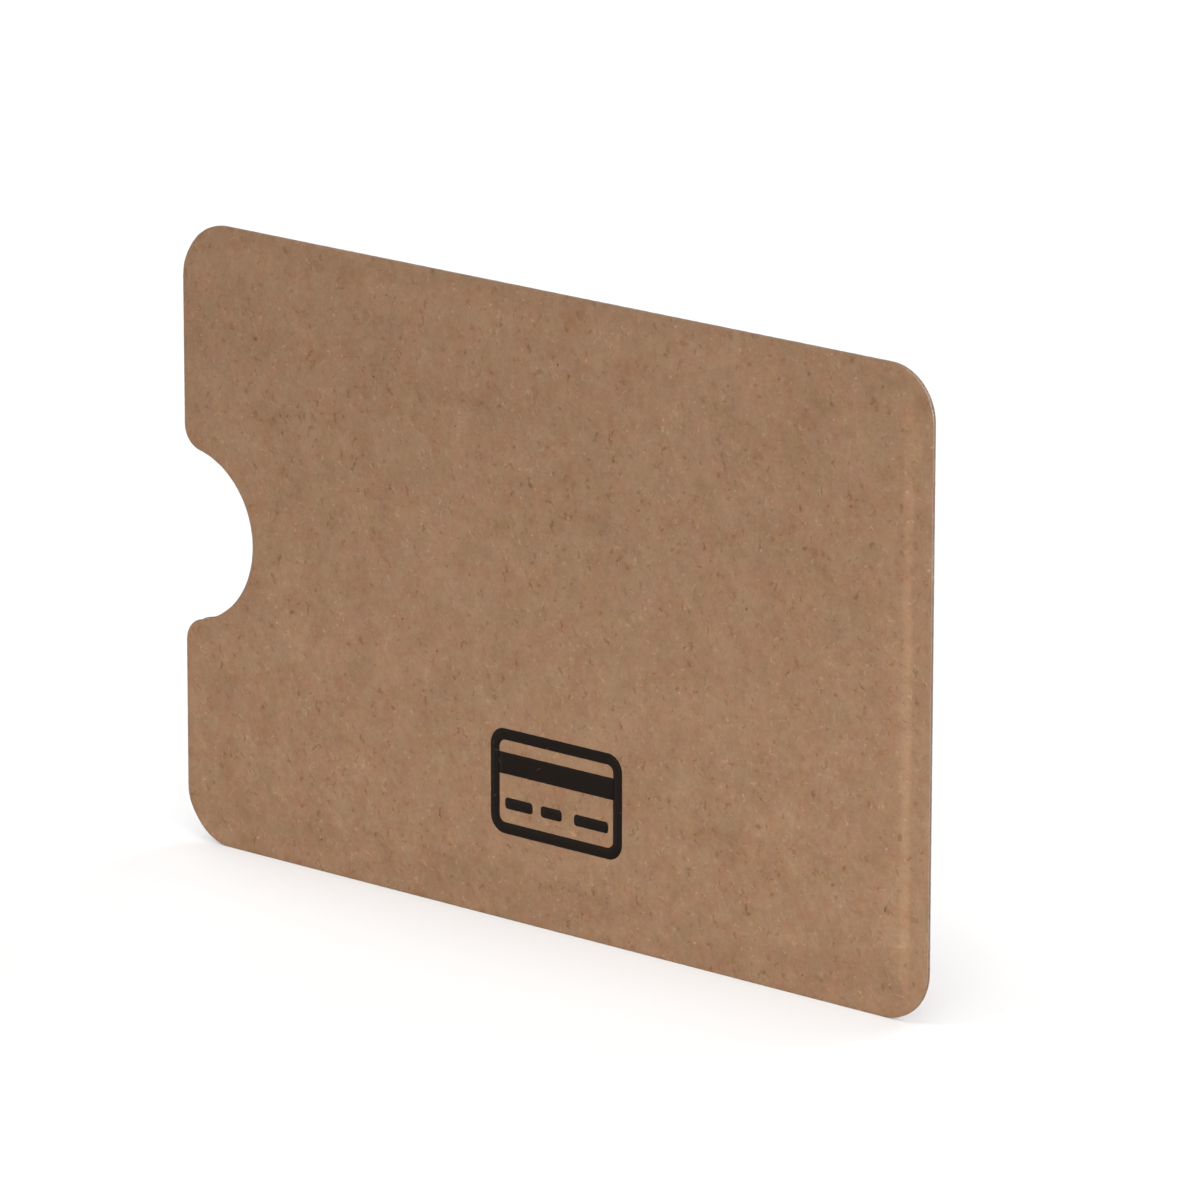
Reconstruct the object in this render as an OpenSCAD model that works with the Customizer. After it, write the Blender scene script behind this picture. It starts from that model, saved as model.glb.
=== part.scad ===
// Flat paper sleeve for a bank-size card, lined with foil, with a thumb notch in its open end.
// Two cover sheets carry foil and a smooth film on their inside. Glue joins them along both long
// edges and across the closed end, and one die cuts the outline through all of them together.
// The sleeve stands on a long edge: +X points to the closed end, -Y to the front and +Z up.
// The origin is on the surface that it stands on, under the middle of the sleeve.

/* [Card] */
// Length of the card that the pocket holds
card_length = 85.6; // [60:0.1:110]
// Height of the card, from one long edge of the sleeve to the other
card_height = 53.98; // [45:0.01:80]
// Thickness of the card
card_thickness = 0.76; // [0.3:0.01:1.5]

/* [Room around the card] */
// Free space on each face of the card
face_clearance = 0.05; // [0.02:0.01:0.3]
// Free space above and below the card, where the sheets rise from the side seams
side_clearance = 2.31; // [1.5:0.01:5]
// Free space past the card's inner end, where the sheets rise from the end seam
end_clearance = 2; // [1.2:0.1:5]
// How far the card stands back from the edge of the mouth
mouth_setback = 1.8; // [0.5:0.1:6]

/* [Seams] */
// Width of the glued seam along each long edge
side_seam = 1.2; // [0.8:0.1:4]
// Width of the glued seam across the closed end
end_seam = 1.6; // [0.8:0.1:5]
// Thickness of the glue
glue_thickness = 0.04; // [0.02:0.01:0.1]

/* [Sheets] */
// Thickness of the kraft paper
paper_thickness = 0.2; // [0.12:0.01:0.5]
// Thickness of the aluminium foil
foil_thickness = 0.02; // [0.01:0.005:0.1]
// Thickness of the smooth film that faces the card
film_thickness = 0.03; // [0.02:0.005:0.1]
// How far foil, film and glue stay inside the cut edge of the paper
edge_margin = 0.1; // [0.05:0.05:0.5]

/* [Outline] */
// Radius of the outer corners
corner_radius = 5; // [2:0.5:10]
// Radius of the thumb notch
notch_radius = 8.5; // [5:0.5:12]
// How far the centre of the notch lies inside the edge of the mouth
notch_inset = 0.2; // [0:0.1:2]
// Radius that rounds the notch into the edge of the mouth
notch_shoulder = 2.4; // [1:0.1:4]

/* [Hidden] */

// Steps in the curve by which a sheet rises from a seam
rise_steps = 7;
// How far a shape runs on past the surfaces that it cuts or is cut by
spare = 2;

kraft = [0.61, 0.48, 0.38];
silver = [0.78, 0.79, 0.8];
clear_white = [0.93, 0.93, 0.91];
dried_glue = [0.85, 0.78, 0.6];

sleeve_length = mouth_setback + card_length + end_clearance + end_seam;
sleeve_height = card_height + 2 * (side_clearance + side_seam);
mouth_x = -sleeve_length / 2;
closed_x = sleeve_length / 2;
middle_z = sleeve_height / 2;

// Each sheet lies this far from the middle plane at the seams, and one lift further over the card
film_level = glue_thickness / 2;
foil_level = film_level + film_thickness;
paper_level = foil_level + foil_thickness;
pocket_depth = card_thickness + 2 * face_clearance;
lift = (pocket_depth - glue_thickness) / 2;
sleeve_thickness = 2 * (paper_level + lift + paper_thickness);

// The rise is half a cosine wave: level at the seam and level again where the card begins
function rise(share) = lift * (1 - cos(180 * share)) / 2;

// Height of a sheet along the sleeve, as points in X and Y
function length_profile(level, reach) = concat(
    [
        [mouth_x - reach, -reach],
        [closed_x + reach, -reach],
        [closed_x + reach, level]
    ],
    [
        for (i = [0 : rise_steps])
            [closed_x - end_seam - end_clearance * i / rise_steps, level + rise(i / rise_steps)]
    ],
    [[mouth_x - reach, level + lift]]
);

// Height of a sheet across the sleeve, as points in Y and Z
function height_profile(level, reach) = concat(
    [
        [-reach, -reach],
        [level, -reach]
    ],
    [
        for (i = [0 : rise_steps])
            [level + rise(i / rise_steps), side_seam + side_clearance * i / rise_steps]
    ],
    [
        for (i = [rise_steps : -1 : 0])
            [
                level + rise(i / rise_steps),
                sleeve_height - side_seam - side_clearance * i / rise_steps
            ]
    ],
    [
        [level, sleeve_height + reach],
        [-reach, sleeve_height + reach]
    ]
);

// Rectangle with round corners, seen from the front
module rounded_blank(margin) {
    radius = corner_radius - margin;
    for (x = [mouth_x + corner_radius, closed_x - corner_radius])
        for (z = [corner_radius, sleeve_height - corner_radius])
            translate([x, z]) circle(radius, $fn = 96);
    translate([mouth_x + corner_radius, margin])
        square([sleeve_length - 2 * corner_radius, sleeve_height - 2 * margin]);
    translate([mouth_x + margin, corner_radius])
        square([sleeve_length - 2 * margin, sleeve_height - 2 * corner_radius]);
}

// Thumb notch with its two round shoulders, open towards the mouth
module thumb_notch(margin) {
    radius = notch_radius + margin;
    shoulder = notch_shoulder - margin;
    centre_x = mouth_x + notch_inset;
    shoulder_x = mouth_x + notch_shoulder;
    spread = sqrt(pow(notch_radius + notch_shoulder, 2) - pow(notch_shoulder - notch_inset, 2));
    outside_x = mouth_x - spare;
    translate([centre_x, middle_z]) circle(radius, $fn = 180);
    difference() {
        polygon([
            [outside_x, middle_z - spread],
            [shoulder_x, middle_z - spread],
            [centre_x, middle_z],
            [shoulder_x, middle_z + spread],
            [outside_x, middle_z + spread]
        ]);
        for (side = [-1, 1])
            translate([shoulder_x, middle_z + side * spread]) circle(shoulder, $fn = 96);
    }
}

// The die that cuts every layer to one outline
module die(margin) {
    rotate([90, 0, 0])
        linear_extrude(sleeve_thickness + 2 * spare, center = true)
            difference() {
                rounded_blank(margin);
                thumb_notch(margin);
            }
}

// Everything below a sheet's surface, as far as the reach
module below_sheet(level, reach) {
    intersection() {
        translate([0, 0, middle_z])
            linear_extrude(sleeve_height + 2 * reach, center = true)
                polygon(length_profile(level, reach));
        rotate([90, 0, 90])
            linear_extrude(sleeve_length + 2 * reach, center = true)
                polygon(height_profile(level, reach));
    }
}

// One sheet of the back cover: flat on the seams and raised over the card
module raised_sheet(level, thickness, margin) {
    intersection() {
        die(margin);
        difference() {
            below_sheet(level + thickness, spare);
            below_sheet(level, 2 * spare);
        }
    }
}

// A run of glue between the films, from one corner of a rectangle in X and Z to the other
module glue_run(low, high) {
    intersection() {
        die(edge_margin);
        translate([low[0], -glue_thickness / 2, low[1]])
            cube([high[0] - low[0], glue_thickness, high[1] - low[1]]);
    }
}

module back_paper() {
    color(kraft) raised_sheet(paper_level, paper_thickness, 0);
}

module back_foil() {
    color(silver) raised_sheet(foil_level, foil_thickness, edge_margin);
}

module back_film() {
    color(clear_white) raised_sheet(film_level, film_thickness, edge_margin);
}

module front_paper() {
    mirror([0, 1, 0]) back_paper();
}

module front_foil() {
    mirror([0, 1, 0]) back_foil();
}

module front_film() {
    mirror([0, 1, 0]) back_film();
}

// The end run goes the whole height of the sleeve, and the side runs butt against it
module end_seam_glue() {
    color(dried_glue) glue_run([closed_x - end_seam, 0], [closed_x, sleeve_height]);
}

module bottom_seam_glue() {
    color(dried_glue) glue_run([mouth_x, 0], [closed_x - end_seam, side_seam]);
}

module top_seam_glue() {
    color(dried_glue)
        glue_run([mouth_x, sleeve_height - side_seam], [closed_x - end_seam, sleeve_height]);
}

front_paper();
front_foil();
front_film();
back_paper();
back_foil();
back_film();
end_seam_glue();
top_seam_glue();
bottom_seam_glue();
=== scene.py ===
"""Looks of a kraft-paper card sleeve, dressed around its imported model.

The sleeve stands on a long edge. +X points to its closed end, -Y to its front and +Z up.
Lengths are in metres, and MM turns millimetres into them. Inside a material, places are in mm.
"""

import math

import bmesh
import bpy
import numpy as np
from mathutils import Matrix, Vector, noise
from mathutils.geometry import delaunay_2d_cdt


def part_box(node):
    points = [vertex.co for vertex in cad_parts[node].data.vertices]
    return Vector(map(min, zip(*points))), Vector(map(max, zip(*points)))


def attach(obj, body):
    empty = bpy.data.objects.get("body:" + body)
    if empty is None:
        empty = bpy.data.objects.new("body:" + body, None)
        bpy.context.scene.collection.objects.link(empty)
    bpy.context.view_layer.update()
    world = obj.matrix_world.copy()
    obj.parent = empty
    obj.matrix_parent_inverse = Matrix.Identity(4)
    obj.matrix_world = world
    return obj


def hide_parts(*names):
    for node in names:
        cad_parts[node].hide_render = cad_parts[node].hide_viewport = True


MM = 0.001
# For Blender's triangulation: which faces it returns, and how near two points may lie, in mm
ALL_TRIANGLES = 0
SAME_PLACE = 1e-6

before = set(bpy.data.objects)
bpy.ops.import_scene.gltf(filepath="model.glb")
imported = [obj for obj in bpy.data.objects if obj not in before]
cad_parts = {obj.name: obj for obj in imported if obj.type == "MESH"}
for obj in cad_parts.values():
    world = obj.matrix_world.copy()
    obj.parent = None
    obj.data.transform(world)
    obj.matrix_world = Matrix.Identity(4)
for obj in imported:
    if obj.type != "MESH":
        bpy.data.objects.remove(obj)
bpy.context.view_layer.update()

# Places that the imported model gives
paper_low, paper_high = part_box("front_paper")
MOUTH, CLOSED, TOP = paper_low.x, paper_high.x, paper_high.z
MIDDLE = TOP / 2
END_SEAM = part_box("end_seam_glue")[0].x
BOTTOM_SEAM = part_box("bottom_seam_glue")[1].z
TOP_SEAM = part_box("top_seam_glue")[0].z
EDGE_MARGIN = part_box("front_foil")[0].x - MOUTH
# The film's outer face is the foil's inner one. It lies one lift higher over the card than on a seam.
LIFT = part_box("back_film")[1].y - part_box("back_foil")[0].y

# Outline, cut through every layer by one die: its corners, its thumb notch and the notch's shoulders
CORNER = 5 * MM
NOTCH, NOTCH_INSET = 8.5 * MM, 0.2 * MM
SHOULDER = 2.4 * MM
# Spacing of points on the outline, and how fuzzy a cut in paper is
ARC_STEP, STRAIGHT_STEP = 0.35 * MM, 0.5 * MM
CUT_FUZZ, CUT_FUZZ_SIZE = 0.018 * MM, 0.45 * MM
# The die presses the paper's outer face down towards the cut, and leaves a small round at each edge
CRUSH_WIDTH, CRUSH_DEPTH = 0.7 * MM, 0.05 * MM
CRUSH_STEPS = 5
# How much of the cut's colour each ring of a sheet has, from its outer face round to its inner one
CUT_SHARES = [0] * (CRUSH_STEPS - 1) + [0.2, 0.6, 1, 1, 1, 1, 0.6, 0.2, 0]

# How the sheets rise from the seams to the field over the card. At the closed end, a step of
# STEP_SHARE of the height comes on top of a long gentle rise.
STEP_START, STEP_WIDTH, STEP_SHARE = 0.3 * MM, 1.2 * MM, 0.66
END_RISE, SIDE_RISE = 4.0 * MM, 4.4 * MM
# A higher power makes a sharper corner where the rises of two seams meet
MITRE_POWER = 4
# The field over the card sags by up to this much, in waves of this size
SAG, SAG_SIZE = 0.03 * MM, 17 * MM
# Spacing of a sheet's points on the field, their steps on a rise, and their gap to the pressed edge
FIELD_STEP = 2.0 * MM
RISE_STEPS = 24
FIELD_GAP = 0.2 * MM

# Radius of the glue's inner edge in the corners of the closed end, and the steps along such a corner
# and along the short straight stretch beside it
POCKET_CORNER = 3.6 * MM
CORNER_STEPS, SHORT_STEPS = 12, 8
# Points inside an area of glue or ink keep this far from the points of its border
BORDER_GAP = 0.3 * MM

# Camera: the place that it looks at, where it stands from there, with angles in degrees, its lens and
# sensor in mm, and how near and far it sees
TARGET = Vector((6.27, 0, 32.91)) * MM
AZIMUTH, ELEVATION, ROLL = 40.94, 15.23, 0.085
DISTANCE = 873 * MM
LENS, SENSOR = 285, 36
NEAREST, FARTHEST = 0.01, 20

# Floor: just under the sleeve, as a disc of many sides
FLOOR_LEVEL = -0.01 * MM
FLOOR_SIDES = 96

# Mark printed on the front: a plain card with its stripe and a row of short bars
MARK_CENTRE = (1.5 * MM, 13.6 * MM)
MARK_HEIGHT = 10.2 * MM
CARD_SHAPE = 85.6 / 53.98
MARK_RIM = 1.1 * MM
OUTER_CORNER, INNER_CORNER = 1.7 * MM, 0.7 * MM
# The stripe lies so far above the mark's centre, and the bars so far below it
STRIPE_ABOVE, STRIPE_HEIGHT, STRIPE_CORNER = 1.75 * MM, 2.1 * MM, 0.05 * MM
# The stripe runs this far into the rim in all
STRIPE_LAP = 0.3 * MM
BAR_BELOW, BAR_HEIGHT, BAR_CORNER = 2.1 * MM, 1.1 * MM, 0.3 * MM
# Middle and length of each bar
BARS = [(-4.6 * MM, 3.4 * MM), (-0.6 * MM, 2.6 * MM), (4.3 * MM, 4.2 * MM)]
# The ink reaches this far out of the paper and into it, with an edge as fuzzy as given
INK = 0.008 * MM
INK_FUZZ, INK_FUZZ_SIZE = 0.02 * MM, 0.3 * MM
# Spacing of the points inside the mark, and how far they reach from its centre in X and Z
INK_STEP = 0.8 * MM
INK_REACH = (12 * MM, 8 * MM)


# Outline and height of the sheets


def arc(centre, radius, start, stop, count):
    """Points on an arc, with its angles in degrees."""
    angles = np.radians(np.linspace(start, stop, count + 1))
    return np.array(centre) + radius * np.stack([np.cos(angles), np.sin(angles)], 1)


def run(start, stop, count):
    """Points between two others, without either of them."""
    shares = np.arange(1, count)[:, None] / count
    return start + (stop - start) * shares


def joined_arcs(arcs, margin):
    """A closed line through arcs, given as (centre, radius, sign, start, stop). Each radius grows
    by the margin times its sign. The number of points doesn't depend on the margin."""
    plain, moved = [], []
    for centre, radius, sign, start, stop in arcs:
        count = math.ceil(abs(math.radians(stop - start)) * radius / ARC_STEP)
        plain.append(arc(centre, radius, start, stop, count))
        moved.append(arc(centre, radius + sign * margin, start, stop, count))
    points = []
    for i, line in enumerate(moved):
        after = (i + 1) % len(arcs)
        gap = np.linalg.norm(plain[after][0] - plain[i][-1])
        if gap < STRAIGHT_STEP / 10:
            points.append(line[:-1])
        else:
            points.append(line)
            points.append(run(line[-1], moved[after][0], math.ceil(gap / STRAIGHT_STEP)))
    return np.concatenate(points)


def outline(margin):
    """The die's outline in X and Z, drawn in by the margin, with the fuzz of a paper cut."""
    reach = NOTCH + SHOULDER
    across = SHOULDER - NOTCH_INSET
    spread = math.sqrt(reach**2 - across**2)
    lean = math.degrees(math.atan2(spread, across))
    left, right = MOUTH + CORNER, CLOSED - CORNER
    arcs = [
        ((left, CORNER), CORNER, -1, 180, 270),
        ((right, CORNER), CORNER, -1, 270, 360),
        ((right, TOP - CORNER), CORNER, -1, 0, 90),
        ((left, TOP - CORNER), CORNER, -1, 90, 180),
        ((MOUTH + SHOULDER, MIDDLE + spread), SHOULDER, -1, 180, 180 + lean),
        ((MOUTH + NOTCH_INSET, MIDDLE), NOTCH, 1, lean, -lean),
        ((MOUTH + SHOULDER, MIDDLE - spread), SHOULDER, -1, 180 - lean, 180),
    ]
    line = joined_arcs(arcs, margin)
    clean = joined_arcs(arcs, 0)
    along = np.roll(clean, -1, 0) - np.roll(clean, 1, 0)
    outward = np.stack([along[:, 1], -along[:, 0]], 1)
    outward /= np.linalg.norm(outward, axis=1)[:, None]
    fuzz = [noise.noise(Vector((x, 0, z)) / CUT_FUZZ_SIZE) for x, z in clean]
    return line + outward * (CUT_FUZZ * np.array(fuzz))[:, None]


def drop(share):
    """1 on a seam and 0 past the rise beside it, along half a cosine wave."""
    return (1 + np.cos(np.pi * np.clip(share, 0, 1))) / 2


def height(points):
    """How far the sheets lie above their level on the seams, at points in X and Z."""
    x, z = points[:, 0], points[:, 1]
    from_end = END_SEAM - x
    step = drop((from_end - STEP_START) / STEP_WIDTH)
    end = STEP_SHARE * step + (1 - STEP_SHARE) * drop(from_end / END_RISE)
    side = drop(np.minimum(z - BOTTOM_SEAM, TOP_SEAM - z) / SIDE_RISE)
    both = np.minimum(1, (end**MITRE_POWER + side**MITRE_POWER) ** (1 / MITRE_POWER))
    waves = [noise.noise(Vector((a, 0, b)) / SAG_SIZE) for a, b in points]
    return (1 - both) * (LIFT - SAG * (0.5 + 0.5 * np.array(waves)))


def grid():
    """Points in X and Z: far apart on the flat field and close together on the rises."""
    near = np.linspace(0, 1, RISE_STEPS + 1)
    xs = np.concatenate([
        np.arange(MOUTH + FIELD_STEP / 2, END_SEAM - END_RISE - FIELD_STEP / 2, FIELD_STEP),
        END_SEAM - END_RISE * near[::-1],
        [(END_SEAM + CLOSED) / 2],
    ])
    zs = np.concatenate([
        [BOTTOM_SEAM / 2],
        BOTTOM_SEAM + SIDE_RISE * near,
        np.arange(BOTTOM_SEAM + SIDE_RISE, TOP_SEAM - SIDE_RISE, FIELD_STEP)[1:-1],
        TOP_SEAM - SIDE_RISE * near[::-1],
        [(TOP_SEAM + TOP) / 2],
    ])
    return np.array([(x, z) for x in xs for z in zs])


def lie_within(points, line):
    """Whether each point lies inside a closed line."""
    x, z = points[:, :1], points[:, 1:]
    ax, az = line[:, 0], line[:, 1]
    bx, bz = np.roll(ax, -1), np.roll(az, -1)
    crosses = (az > z) != (bz > z)
    rise = np.where(bz == az, 1, bz - az)
    hits = crosses & (x < ax + (z - az) / rise * (bx - ax))
    return hits.sum(1) % 2 == 1


def in_area(points, area):
    """Whether each point lies in an area: inside its first line, and outside the rest."""
    return sum(lie_within(points, line).astype(int) for line in area) == 1


def clear_of(points, border):
    """The points that keep clear of a border's points."""
    apart = np.linalg.norm(points[:, None] - border, axis=2)
    return points[apart.min(1) > BORDER_GAP]


def fill(area, points):
    """The edges of an area's lines, and faces all over it. Both go by the index of a point, where the
    given points follow those of the lines."""
    every = np.concatenate([*area, points])
    edges, first = [], 0
    for line in area:
        last = first + len(line)
        edges += zip(range(first, last), [*range(first + 1, last), first])
        first = last
    start = [Vector(p / MM) for p in every]
    _, _, found, origins, _, _ = delaunay_2d_cdt(start, edges, [], ALL_TRIANGLES, SAME_PLACE)
    faces = [[origins[i][0] for i in face] for face in found]
    middles = np.array([every[face].mean(0) for face in faces])
    return edges, [face for face, inside in zip(faces, in_area(middles, area)) if inside]


def new_piece(name, places, faces, material):
    """A closed mesh piece that rides on the sleeve's one body."""
    mesh = bpy.data.meshes.new(name)
    mesh.from_pydata([tuple(p) for p in places], [], faces)
    work = bmesh.new()
    work.from_mesh(mesh)
    bmesh.ops.recalc_face_normals(work, faces=work.faces)
    work.to_mesh(mesh)
    work.free()
    mesh.shade_smooth()
    mesh.materials.append(material)
    piece = bpy.data.objects.new(name, mesh)
    bpy.context.scene.collection.objects.link(piece)
    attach(piece, "root")
    return piece


def section(thickness, radius, crush):
    """A sheet's section at its cut edge, from the outer face to the inner one: pairs of how far each
    ring lies inside the outline and how high above the inner face."""
    pressed = [
        (inset, thickness - crush * (1 - inset / CRUSH_WIDTH) ** 2)
        for inset in np.linspace(CRUSH_WIDTH, 2 * radius, CRUSH_STEPS)
    ]
    angles = (0, math.pi / 4, math.pi / 2)
    turns = [(radius * (1 - math.sin(a)), radius * (1 - math.cos(a))) for a in angles]
    top = pressed[-1][1]
    outer = [(inset, top - down) for inset, down in turns]
    inner = [(inset, down) for inset, down in reversed(turns)]
    return [*pressed, *outer, *inner, (2 * radius, 0), (CRUSH_WIDTH, 0)]


def sheet_faces(rings, inside):
    """Faces of a sheet whose points are its rings, from the outer face round the cut to the inner one,
    and then the same points inside its outer face and inside its inner one."""
    count = len(rings[0])
    faces = []
    for ring in range(len(rings) - 1):
        first, other = ring * count, (ring + 1) * count
        for i in range(count):
            after = (i + 1) % count
            faces.append((first + i, first + after, other + after, other + i))
    field = len(rings) * count
    for ring, start in ((0, field), (len(rings) - 1, field + len(inside))):
        for face in fill([rings[ring]], inside)[1]:
            faces.append([ring * count + i if i < count else start + i - count for i in face])
    return faces


def make_sheet(node, material, radius, crush=0.0, margin=0.0):
    """One sheet of a cover, with soft cut edges, in place of its node."""
    low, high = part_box(node)
    side = 1 if high.y > 0 else -1
    level, top = sorted((abs(low.y), abs(high.y)))
    thickness = top - level - LIFT
    rings = section(thickness, radius, crush)
    lines = [outline(margin + inset) for inset, _ in rings]
    count = len(lines[0])
    inside = grid()
    inside = inside[lie_within(inside, outline(margin + CRUSH_WIDTH + FIELD_GAP))]
    flat = np.concatenate([*lines, inside, inside])
    above = np.concatenate([
        *[np.full(count, up) for _, up in rings],
        np.full(len(inside), thickness),
        np.zeros(len(inside)),
    ])
    y = side * (level + height(flat) + above)
    places = np.stack([flat[:, 0], y, flat[:, 1]], 1)
    sheet = new_piece(node.replace("_", "_cover_"), places, sheet_faces(lines, inside), material)
    cut = sheet.data.attributes.new("cut", "FLOAT", "POINT")
    cut.data.foreach_set("value", [*np.repeat(CUT_SHARES, count), *np.zeros(2 * len(inside))])
    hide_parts(node)


def slab(name, areas, points, near, far, material):
    """A thin closed piece over areas in X and Z. The functions near and far give the Y of its faces."""
    places, faces = [], []
    for area in areas:
        inner = clear_of(points[in_area(points, area)], np.concatenate(area))
        every = np.concatenate([*area, inner])
        edges, flat = fill(area, inner)
        first, other = len(places), len(places) + len(every)
        for side in (near, far):
            places += [(x, y, z) for (x, z), y in zip(every, side(every))]
        faces += [[first + i for i in face] for face in flat]
        faces += [[other + i for i in reversed(face)] for face in flat]
        faces += [(first + a, first + b, other + b, other + a) for a, b in edges]
    return new_piece(name, places, faces, material)


def glue_borders():
    """The border of each run of glue. The end's run fills the round corners of the closed end too."""
    line = outline(EDGE_MARGIN)
    x, z = line[:, 0], line[:, 1]
    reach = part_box("bottom_seam_glue")[1].x
    low_left, low_right = np.array([[(-reach, BOTTOM_SEAM)], [(reach, BOTTOM_SEAM)]])
    top_left, top_right = np.array([[(-reach, TOP_SEAM)], [(reach, TOP_SEAM)]])
    long_steps = math.ceil(2 * reach / STRAIGHT_STEP)
    inner = END_SEAM - POCKET_CORNER
    upper = arc((inner, TOP_SEAM - POCKET_CORNER), POCKET_CORNER, 90, 0, CORNER_STEPS)
    lower = arc((inner, BOTTOM_SEAM + POCKET_CORNER), POCKET_CORNER, 0, -90, CORNER_STEPS)
    pocket_end = [
        run(top_right, upper[0], SHORT_STEPS),
        upper,
        run(upper[-1], lower[0], long_steps),
        lower,
        run(lower[-1], low_right, SHORT_STEPS),
    ]
    end = line[(x > 0) & (z > BOTTOM_SEAM) & (z < TOP_SEAM)]
    low, top = line[z < BOTTOM_SEAM], line[z > TOP_SEAM]
    borders = {
        "bottom_seam_glue": [low_left, low, low_right, run(low_right, low_left, long_steps)],
        "end_seam_glue": [low_right, end, top_right, *pocket_end],
        "top_seam_glue": [top_right, top, top_left, run(top_left, top_right, long_steps)],
    }
    return {node: np.concatenate(parts) for node, parts in borders.items()}


def make_glue(material):
    """The three runs of glue, which fill the space between the films and end flush with them."""
    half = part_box("end_seam_glue")[1].y
    for node, border in glue_borders().items():
        run_of_glue = slab(
            node.replace("glue", "adhesive"),
            [[border]],
            grid(),
            lambda points: -half - height(points),
            lambda points: half + height(points),
            material,
        )
        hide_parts(node)


# Materials


def srgb(red, green, blue):
    """A colour from its levels of 0 to 255 on a screen."""
    def linear(level):
        share = level / 255
        return share / 12.92 if share <= 0.04045 else ((share + 0.055) / 1.055) ** 2.4
    return (linear(red), linear(green), linear(blue), 1.0)


# Tones of the paper: two reddish and two olive ones, its cut edge, and the bark in it
REDDISH = srgb(159, 120, 90), srgb(158, 120, 93)
OLIVE = srgb(154, 122, 91), srgb(153, 122, 94)
CUT_TONE = srgb(134, 113, 99)
BARK_TONE = srgb(70, 47, 33)
# How red, green and blue change together in the paper's fibres and specks
MARK_TINT = (0.328, 0.235, 0.165)
FOIL_TONES = srgb(205, 207, 209), srgb(224, 225, 226)
FILM_TONES = srgb(226, 227, 226), srgb(206, 208, 209)
GLUE_TONES = srgb(226, 205, 160), srgb(202, 172, 118)
INK_TONES = srgb(12, 5, 1), srgb(22, 11, 3)
# The paper's tone where the ink is thin
BARE_TONE = srgb(132, 104, 82)

# Fibres, in shares of half the full length: how short one may be, how much of it fades at an end, and
# the range over which an end may bend aside
SHORTEST, FADED, BEND = 0.4, 0.4, 0.9
# Specks, in shares of the radius: how small one may be, the size and depth of bumps on its edge, and
# how soft that edge is
SMALLEST, BUMP_SIZE, BUMP_DEPTH, SOFT_RIM = 0.4, 1.5, 0.6, 0.35


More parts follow.
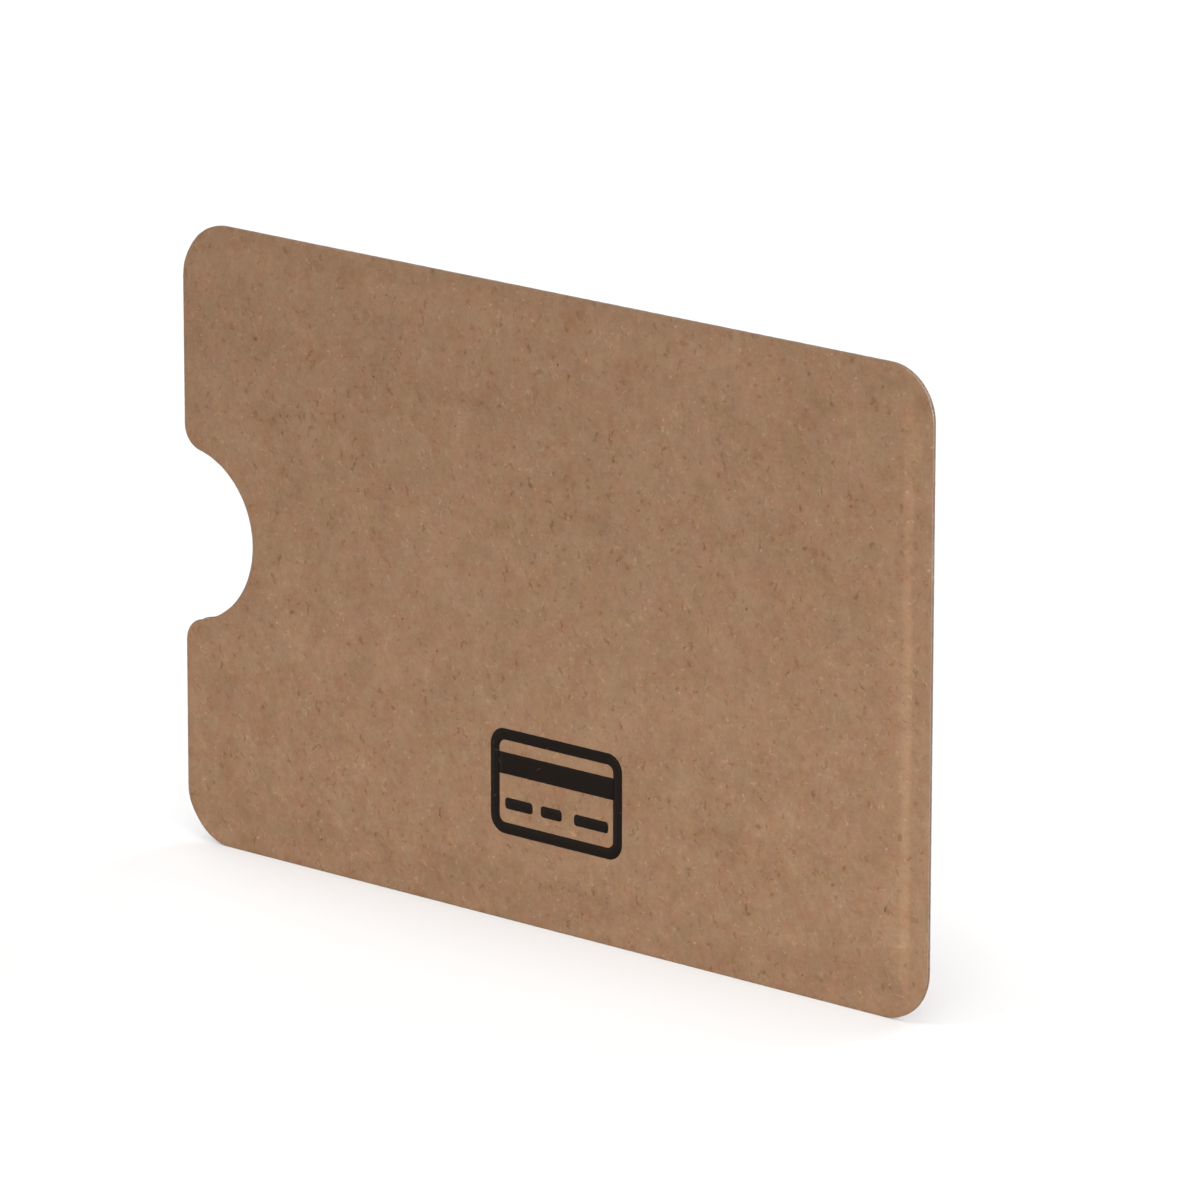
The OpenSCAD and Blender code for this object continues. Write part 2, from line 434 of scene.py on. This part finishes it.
class Paint:
    """Builds one procedural material. Positions inside it are in mm, on the frame's axes."""

    def __init__(self, name, shift=(0, 0, 0)):
        self.material = bpy.data.materials.new(name)
        self.material.use_nodes = True
        self.tree = self.material.node_tree
        self.surface = self.tree.nodes["Principled BSDF"]
        place = self.tree.nodes.new("ShaderNodeTexCoord").outputs["Object"]
        mapping = self.add("Mapping", Vector=place, Scale=(1 / MM,) * 3, Location=shift)
        self.place = mapping.outputs[0]
        self.apart = self.add("SeparateXYZ", Vector=self.place).outputs

    def put(self, socket, value):
        """Wires a socket to another, or sets its value."""
        if isinstance(value, bpy.types.NodeSocket):
            self.tree.links.new(value, socket)
        else:
            socket.default_value = value

    def add(self, kind, settings=None, **values):
        """A new node, with its settings and what goes into its sockets."""
        made = self.tree.nodes.new("ShaderNode" + kind)
        for name, value in (settings or {}).items():
            setattr(made, name, value)
        for name, value in values.items():
            self.put(made.inputs[name.replace("_", " ")], value)
        return made

    def set(self, **values):
        """Sets sockets of the material's surface."""
        for name, value in values.items():
            self.put(self.surface.inputs[name.replace("_", " ")], value)

    def math(self, operation, *values):
        made = self.add("Math", {"operation": operation})
        for socket, value in zip(made.inputs, values):
            self.put(socket, value)
        return made.outputs[0]

    def vector(self, operation, *values, **more):
        made = self.add("VectorMath", {"operation": operation}, **more)
        for socket, value in zip(made.inputs, values):
            self.put(socket, value)
        return made.outputs[0]

    def total(self, *values):
        made = values[0]
        for value in values[1:]:
            made = self.math("ADD", made, value)
        return made

    def less(self, first, second):
        return self.math("SUBTRACT", first, second)

    def times(self, first, second):
        return self.math("MULTIPLY", first, second)

    def most(self, first, second):
        return self.math("MAXIMUM", first, second)

    def swing(self, value, amount):
        """Noise about 0.5 as a change about 0."""
        return self.times(self.less(value, 0.5), amount)

    def ramp(self, value, low, high):
        """0 below low and 1 above high, with a smooth way between."""
        made = self.add("MapRange", {"interpolation_type": "SMOOTHSTEP"}, Value=value)
        made.inputs["From Min"].default_value = low
        made.inputs["From Max"].default_value = high
        return made.outputs[0]

    def mix(self, share, first, second):
        """A colour between two, which is the first at a share of 0."""
        made = self.add("Mix", {"data_type": "RGBA"})
        self.put(made.inputs[0], share)
        self.put(made.inputs[6], first)
        self.put(made.inputs[7], second)
        return made.outputs[2]

    def noise(self, size, detail=2.0, roughness=0.5, place=None):
        """Noise with details of the given size in mm, about 0.5."""
        made = self.add(
            "TexNoise",
            Vector=place or self.place,
            Scale=1 / size,
            Detail=detail,
            Roughness=roughness,
        )
        return made.outputs["Fac"]

    def stretched(self, scale, turn=0, shift=(0, 0, 0)):
        """The place, moved, turned about Y in degrees and scaled, for marks that are long one way."""
        turned = self.add(
            "Mapping", Vector=self.place, Location=shift, Rotation=(0, math.radians(turn), 0)
        )
        return self.add("Mapping", Vector=turned.outputs[0], Scale=scale).outputs[0]

    def wavy(self, size, amount):
        """The place in the sheet's plane, pushed about by noise of a size, by up to half an amount."""
        flat = self.add("CombineXYZ", X=self.apart[0], Y=self.apart[2]).outputs[0]
        push = self.add("TexNoise", Vector=self.place, Scale=1 / size, Detail=1.0).outputs["Color"]
        return self.vector("MULTIPLY_ADD", push, (amount, amount, 0), flat)

    def strands(self, sheet, spacing, half, width, share, shift, lean=90, spread=180):
        """Short fibres that lie in the sheet, up to 1 on a fibre and 0 off it. One may lie in each cell
        of the given spacing. Half is half a fibre's length. Lean is its usual angle from level, and
        spread the whole range about that, in degrees."""
        moved = self.vector("ADD", sheet, (*shift, 0))
        cells = self.add("TexVoronoi", {"voronoi_dimensions": "2D"}, Vector=moved, Scale=1 / spacing)
        away = self.vector("SUBTRACT", moved, cells.outputs["Position"])
        chance = self.add("SeparateColor", Color=cells.outputs["Color"]).outputs
        turn = self.math("ADD", math.radians(-lean), self.swing(chance[0], math.radians(spread)))
        turned = self.add("VectorRotate", {"rotation_type": "Z_AXIS"}, Vector=away, Angle=turn)
        own = self.add("SeparateXYZ", Vector=turned.outputs[0]).outputs
        bend = self.times(self.math("POWER", own[0], 2.0), self.swing(chance[1], BEND / half))
        off = self.math("ABSOLUTE", self.math("ADD", own[1], bend))
        longer = self.math("ADD", SHORTEST, self.times(chance[1], 1 - SHORTEST))
        reach = self.less(self.times(half, longer), self.math("ABSOLUTE", own[0]))
        ends = self.ramp(reach, 0.0, half * FADED)
        thin = self.less(1.0, self.ramp(off, 0.0, width))
        depth = self.ramp(chance[2], 1 - share, 1.0)
        return self.times(depth, self.times(ends, thin))

    def specks(self, spacing, radius, share, place):
        """Small uneven spots, 1 in a speck, in the given share of cells."""
        cells = self.add("TexVoronoi", Vector=place, Scale=1 / spacing)
        chance = self.add("SeparateColor", Color=cells.outputs["Color"]).outputs
        chosen = self.math("GREATER_THAN", chance[0], 1 - share)
        reach = self.times(self.math("ADD", SMALLEST, chance[1]), radius / spacing)
        bumps = self.noise(radius * BUMP_SIZE, detail=1.0)
        uneven = self.swing(bumps, BUMP_DEPTH * radius / spacing)
        inside = self.less(reach, self.math("ADD", cells.outputs["Distance"], uneven))
        return self.times(chosen, self.ramp(inside, 0.0, SOFT_RIM * radius / spacing))


def kraft_tone(p):
    """The paper's plain colour: patches of reddish and olive brown, and greyer on the cut edge."""
    hue = p.ramp(p.noise(2.0, detail=2.0), 0.25, 0.75)
    elsewhere = p.stretched((1, 1, 1), shift=(40, 0, 40))
    tint = p.ramp(p.noise(1.4, detail=1.0, place=elsewhere), 0.3, 0.7)
    base = p.mix(hue, p.mix(tint, *REDDISH), p.mix(tint, *OLIVE))
    cut = p.add("Attribute", {"attribute_name": "cut"}).outputs["Fac"]
    return p.mix(p.times(cut, 0.8), base, CUT_TONE)


def kraft_fibres(p):
    """Pale and brown fibres. The longer brown ones stand within 45 degrees of upright."""
    sheet = p.wavy(size=0.4, amount=0.9)
    pale = p.most(
        p.strands(sheet, spacing=1.7, half=0.7, width=0.12, share=0.5, shift=(3, 9)),
        p.strands(sheet, spacing=0.9, half=0.30, width=0.13, share=0.5, shift=(31, 13)),
    )
    brown = p.most(
        p.strands(sheet, spacing=1.9, half=0.7, width=0.20, share=0.5, shift=(57, 21), spread=90),
        p.strands(sheet, spacing=1.0, half=0.33, width=0.16, share=0.5, shift=(71, 2)),
    )
    return pale, brown


def kraft_bark(p):
    """Dark specks of bark and a few longer slivers of wood."""
    aslant = p.stretched((0.7, 1, 1), turn=60, shift=(11, 0, 4))
    upright = p.stretched((1, 1, 0.35), turn=-15, shift=(5, 0, 17))
    return p.most(
        p.specks(spacing=1.8, radius=0.12, share=0.16, place=aslant),
        p.specks(spacing=6.0, radius=0.18, share=0.08, place=upright),
    )


def kraft_blots(p):
    """Soft darker blots, some upright and some level."""
    upright = p.stretched((1, 1, 0.55), turn=25)
    level = p.stretched((0.5, 1, 1), turn=-10, shift=(9, 0, 14))
    return p.most(
        p.specks(spacing=1.3, radius=0.26, share=0.30, place=upright),
        p.specks(spacing=1.6, radius=0.24, share=0.30, place=level),
    )


def kraft_chips(p):
    """Small pale chips."""
    level = p.stretched((0.6, 1, 1), turn=20, shift=(23, 0, 31))
    return p.specks(spacing=1.3, radius=0.12, share=0.25, place=level)


def kraft(name, shift, painted_light):
    """Uncoated brown paper: cloudy pulp, short fibres, specks of bark and a greyer cut edge. By its
    painted light and shade, a sheet is that much paler along its lower edge than along its upper one."""
    p = Paint(name, shift)
    pulp = p.noise(1.0, detail=2.0, roughness=0.75)
    grain = p.noise(0.25, detail=0.0)
    pale, brown = kraft_fibres(p)
    marks = p.total(
        p.swing(p.noise(9, detail=1.0), 0.18),
        p.swing(p.noise(3.0, detail=2.0, roughness=0.6), 0.32),
        p.swing(pulp, 0.44),
        p.swing(grain, 0.06),
        p.times(pale, 0.30),
        p.times(brown, -0.28),
        p.times(kraft_blots(p), -0.12),
        p.times(kraft_chips(p), 0.36),
    )
    marked = p.vector("MULTIPLY_ADD", marks, MARK_TINT, kraft_tone(p))
    # Painted light and shade: the sheet's colour is paler towards its lower edge and darker towards its
    # upper one
    level = p.math("DIVIDE", p.less(p.apart[2], shift[2]), TOP / MM)
    tone = p.math("ADD", 1.0, p.times(p.less(0.5, level), painted_light))
    lit = p.vector("SCALE", marked, Scale=tone)
    relief = p.total(p.swing(pulp, 0.8), p.swing(grain, 0.6), p.times(pale, 0.5), p.times(brown, 0.3))
    bump = p.add("Bump", Height=relief, Strength=0.35, Distance=0.02 * MM)
    colour = p.mix(p.times(kraft_bark(p), 0.62), lit, BARK_TONE)
    p.set(Base_Color=colour, Roughness=0.86, Normal=bump.outputs[0], Specular_IOR_Level=0.3)
    return p.material


def foil():
    """Thin rolled aluminium: satin, with faint lines along the way that it was rolled."""
    p = Paint("rolled_foil")
    rolled = p.noise(0.35, detail=3.0, place=p.stretched((0.03, 1, 1)))
    creased = p.noise(6, detail=2.0)
    bump = p.add("Bump", Height=p.total(rolled, creased), Strength=0.3, Distance=0.02 * MM)
    p.set(
        Base_Color=p.mix(p.ramp(rolled, 0.3, 0.7), *FOIL_TONES),
        Metallic=1.0,
        Roughness=p.math("ADD", 0.26, p.swing(creased, 0.16)),
        Normal=bump.outputs[0],
    )
    return p.material


def film():
    """Milky film that faces the card. The foil under it makes it silvery grey, with soft creases."""
    p = Paint("milky_film")
    haze = p.noise(3, detail=3.0)
    creased = p.noise(5, detail=2.0, place=p.stretched((0.5, 1, 1), 20))
    bump = p.add("Bump", Height=creased, Strength=0.4, Distance=0.03 * MM)
    p.set(
        Base_Color=p.mix(haze, *FILM_TONES),
        Roughness=p.math("ADD", 0.3, p.swing(haze, 0.15)),
        Normal=bump.outputs[0],
    )
    return p.material


def glue():
    """Dried adhesive, amber where it is thick."""
    p = Paint("dried_glue")
    blobs = p.noise(1.1, detail=2.0)
    bump = p.add("Bump", Height=blobs, Strength=0.4, Distance=0.02 * MM)
    p.set(
        Base_Color=p.mix(blobs, *GLUE_TONES),
        Roughness=p.math("ADD", 0.42, p.swing(blobs, 0.2)),
        Normal=bump.outputs[0],
    )
    return p.material


def ink():
    """Black ink, thin enough that some fibres of the paper show through it."""
    p = Paint("black_ink")
    sheet = p.wavy(size=0.4, amount=0.4)
    fibres = p.strands(sheet, spacing=1.1, half=0.4, width=0.05, share=0.2, shift=(9, 5))
    bare = p.most(fibres, p.specks(spacing=2.0, radius=0.07, share=0.06, place=p.place))
    cover = p.noise(0.6, detail=3.0, roughness=0.7)
    bump = p.add("Bump", Height=cover, Strength=0.3, Distance=0.01 * MM)
    p.set(
        Base_Color=p.mix(p.times(bare, 0.45), p.mix(cover, *INK_TONES), BARE_TONE),
        Roughness=p.math("ADD", 0.7, p.swing(cover, 0.2)),
        Normal=bump.outputs[0],
        Specular_IOR_Level=0.12,
    )
    return p.material


# Mark on the front


def rounded_box(centre, width, tall, radius):
    """A closed line round a box with round corners, in X and Z."""
    x, z = width / 2 - radius, tall / 2 - radius
    corners = (((-x, -z), 180), ((x, -z), 270), ((x, z), 0), ((-x, z), 90))
    arcs = [((centre[0] + a, centre[1] + b), radius, 0, turn, turn + 90) for (a, b), turn in corners]
    return joined_arcs(arcs, 0)


def card_mark():
    """Areas of a plain pictogram: a card's outline, its stripe and a row of short bars."""
    x, z = MARK_CENTRE
    tall, wide = MARK_HEIGHT, MARK_HEIGHT * CARD_SHAPE
    clear = wide - 2 * MARK_RIM
    rim = [
        rounded_box((x, z), wide, tall, OUTER_CORNER),
        rounded_box((x, z), clear, tall - 2 * MARK_RIM, INNER_CORNER),
    ]
    stripe = [rounded_box((x, z + STRIPE_ABOVE), clear + STRIPE_LAP, STRIPE_HEIGHT, STRIPE_CORNER)]
    bars = [
        [rounded_box((x + middle, z - BAR_BELOW), length, BAR_HEIGHT, BAR_CORNER)]
        for middle, length in BARS
    ]
    return [rim, stripe, *bars]


def fuzzy(line):
    """A line whose points are pushed about a little, as the edge of ink is on rough paper."""
    shifts = [[noise.noise(Vector((x, k, z)) / INK_FUZZ_SIZE) for k in (0, 9)] for x, z in line]
    return line + np.array(shifts) * INK_FUZZ


def printed(name, areas, material):
    """Areas of ink on the front."""
    xs, zs = (
        middle + np.arange(-reach, reach, INK_STEP)
        for middle, reach in zip(MARK_CENTRE, INK_REACH)
    )
    top = abs(paper_low.y) - LIFT
    slab(
        name,
        [[fuzzy(line) for line in area] for area in areas],
        np.array([(x, z) for x in xs for z in zs]),
        lambda points: -(top + height(points) + INK),
        lambda points: -(top + height(points) - INK),
        material,
    )


# Room, light and camera


def white_for_camera(tree, strength):
    """A strength that counts only for what the camera sees, by itself or in or through the object."""
    path = tree.nodes.new("ShaderNodeLightPath")
    seen = path.outputs["Is Camera Ray"]
    for name in ("Is Glossy Ray", "Is Transmission Ray"):
        most = tree.nodes.new("ShaderNodeMath")
        most.operation = "MAXIMUM"
        tree.links.new(seen, most.inputs[0])
        tree.links.new(path.outputs[name], most.inputs[1])
        seen = most.outputs[0]
    times = tree.nodes.new("ShaderNodeMath")
    times.operation = "MULTIPLY"
    tree.links.new(seen, times.inputs[0])
    times.inputs[1].default_value = strength
    return times.outputs[0]


def floor_material(colour, lift):
    """Matte white, with a little glow that only the camera sees."""
    material = bpy.data.materials.new("white_floor")
    material.use_nodes = True
    tree = material.node_tree
    tree.nodes.clear()
    matte = tree.nodes.new("ShaderNodeBsdfDiffuse")
    matte.inputs["Color"].default_value = (colour, colour, colour, 1)
    glow = tree.nodes.new("ShaderNodeEmission")
    tree.links.new(white_for_camera(tree, lift), glow.inputs["Strength"])
    both = tree.nodes.new("ShaderNodeAddShader")
    out = tree.nodes.new("ShaderNodeOutputMaterial")
    tree.links.new(matte.outputs[0], both.inputs[0])
    tree.links.new(glow.outputs[0], both.inputs[1])
    tree.links.new(both.outputs[0], out.inputs["Surface"])
    return material


def make_floor(radius, material):
    """A round floor just under the sleeve."""
    mesh = bpy.data.meshes.new("floor")
    rim = [(x, y, FLOOR_LEVEL) for x, y in arc((0, 0), radius, 0, 360, FLOOR_SIDES)[:-1]]
    mesh.from_pydata(rim, [], [range(len(rim))])
    mesh.materials.append(material)
    floor = bpy.data.objects.new("floor", mesh)
    bpy.context.scene.collection.objects.link(floor)


def make_world(ambient):
    """A room that lights the sleeve a little and is white to the camera."""
    world = bpy.data.worlds.new("studio")
    world.use_nodes = True
    tree = world.node_tree
    tree.nodes.clear()
    room = tree.nodes.new("ShaderNodeBackground")
    room.inputs["Color"].default_value = (1, 1, 1, 1)
    add = tree.nodes.new("ShaderNodeMath")
    add.operation = "ADD"
    tree.links.new(white_for_camera(tree, 1 - ambient), add.inputs[0])
    add.inputs[1].default_value = ambient
    tree.links.new(add.outputs[0], room.inputs["Strength"])
    out = tree.nodes.new("ShaderNodeOutputWorld")
    tree.links.new(room.outputs[0], out.inputs["Surface"])
    bpy.context.scene.world = world


def toward(azimuth, elevation):
    """Unit vector from the sleeve towards a place: azimuth 0 is in front and 90 past the closed end."""
    a, e = math.radians(azimuth), math.radians(elevation)
    return Vector((math.sin(a) * math.cos(e), -math.cos(a) * math.cos(e), math.sin(e)))


def make_softbox(name, azimuth, elevation, distance, size, level):
    """A square lamp that faces the sleeve. At a level of 1, a white card turned to it would be white."""
    light = bpy.data.lights.new(name, "AREA")
    light.size = size
    light.energy = level * (math.pi * distance) ** 2
    lamp = bpy.data.objects.new(name, light)
    way = toward(azimuth, elevation)
    lamp.location = Vector((0, 0, MIDDLE)) + way * distance
    lamp.rotation_mode = "QUATERNION"
    lamp.rotation_quaternion = way.to_track_quat("Z", "Y")
    lamp.visible_camera = False
    bpy.context.scene.collection.objects.link(lamp)


def make_camera():
    """The photograph's view."""
    camera = bpy.data.cameras.new("camera")
    camera.lens, camera.sensor_width = LENS, SENSOR
    camera.clip_start, camera.clip_end = NEAREST, FARTHEST
    holder = bpy.data.objects.new("camera", camera)
    way = toward(AZIMUTH, ELEVATION)
    turn = way.to_track_quat("Z", "Y").to_matrix() @ Matrix.Rotation(math.radians(ROLL), 3, "Z")
    holder.matrix_world = Matrix.Translation(TARGET + way * DISTANCE) @ turn.to_4x4()
    bpy.context.scene.collection.objects.link(holder)
    bpy.context.scene.camera = holder


# Name, azimuth and elevation in degrees, distance and size in metres, and level
SOFTBOXES = [
    ("overhead", 15, 84, 2.0, 1.4, 0.66),
    ("camera_side", 32, 30, 2.0, 1.1, 0.29),
    ("left", -50, 45, 2.0, 1.1, 0.22),
    ("right", 75, 25, 2.0, 1.1, 0.20),
    ("right_near", 75, 6, 0.4, 0.22, 0.58),
    ("left_back", -115, 50, 2.0, 1.1, 0.16),
    ("back", 170, 35, 2.0, 1.1, 0.33),
]

bpy.context.scene.view_settings.view_transform = "Standard"
make_camera()
make_world(ambient=0.025)
make_floor(radius=0.6, material=floor_material(colour=0.7, lift=0.2))
for softbox in SOFTBOXES:
    make_softbox(*softbox)

# The front's paper carries painted light and shade: paler along its lower edge than along its upper one
FRONT_KRAFT = kraft("kraft_front", shift=(0, 0, 0), painted_light=0.2)
BACK_KRAFT = kraft("kraft_back", shift=(140, 60, 35), painted_light=0.0)
FOIL, FILM, GLUE = foil(), film(), glue()
for cover, paper in (("front", FRONT_KRAFT), ("back", BACK_KRAFT)):
    make_sheet(cover + "_paper", paper, radius=0.03 * MM, crush=CRUSH_DEPTH)
    make_sheet(cover + "_foil", FOIL, radius=0.006 * MM, margin=EDGE_MARGIN)
    make_sheet(cover + "_film", FILM, radius=0.01 * MM, margin=EDGE_MARGIN)
make_glue(GLUE)
printed("printed_card", card_mark(), ink())
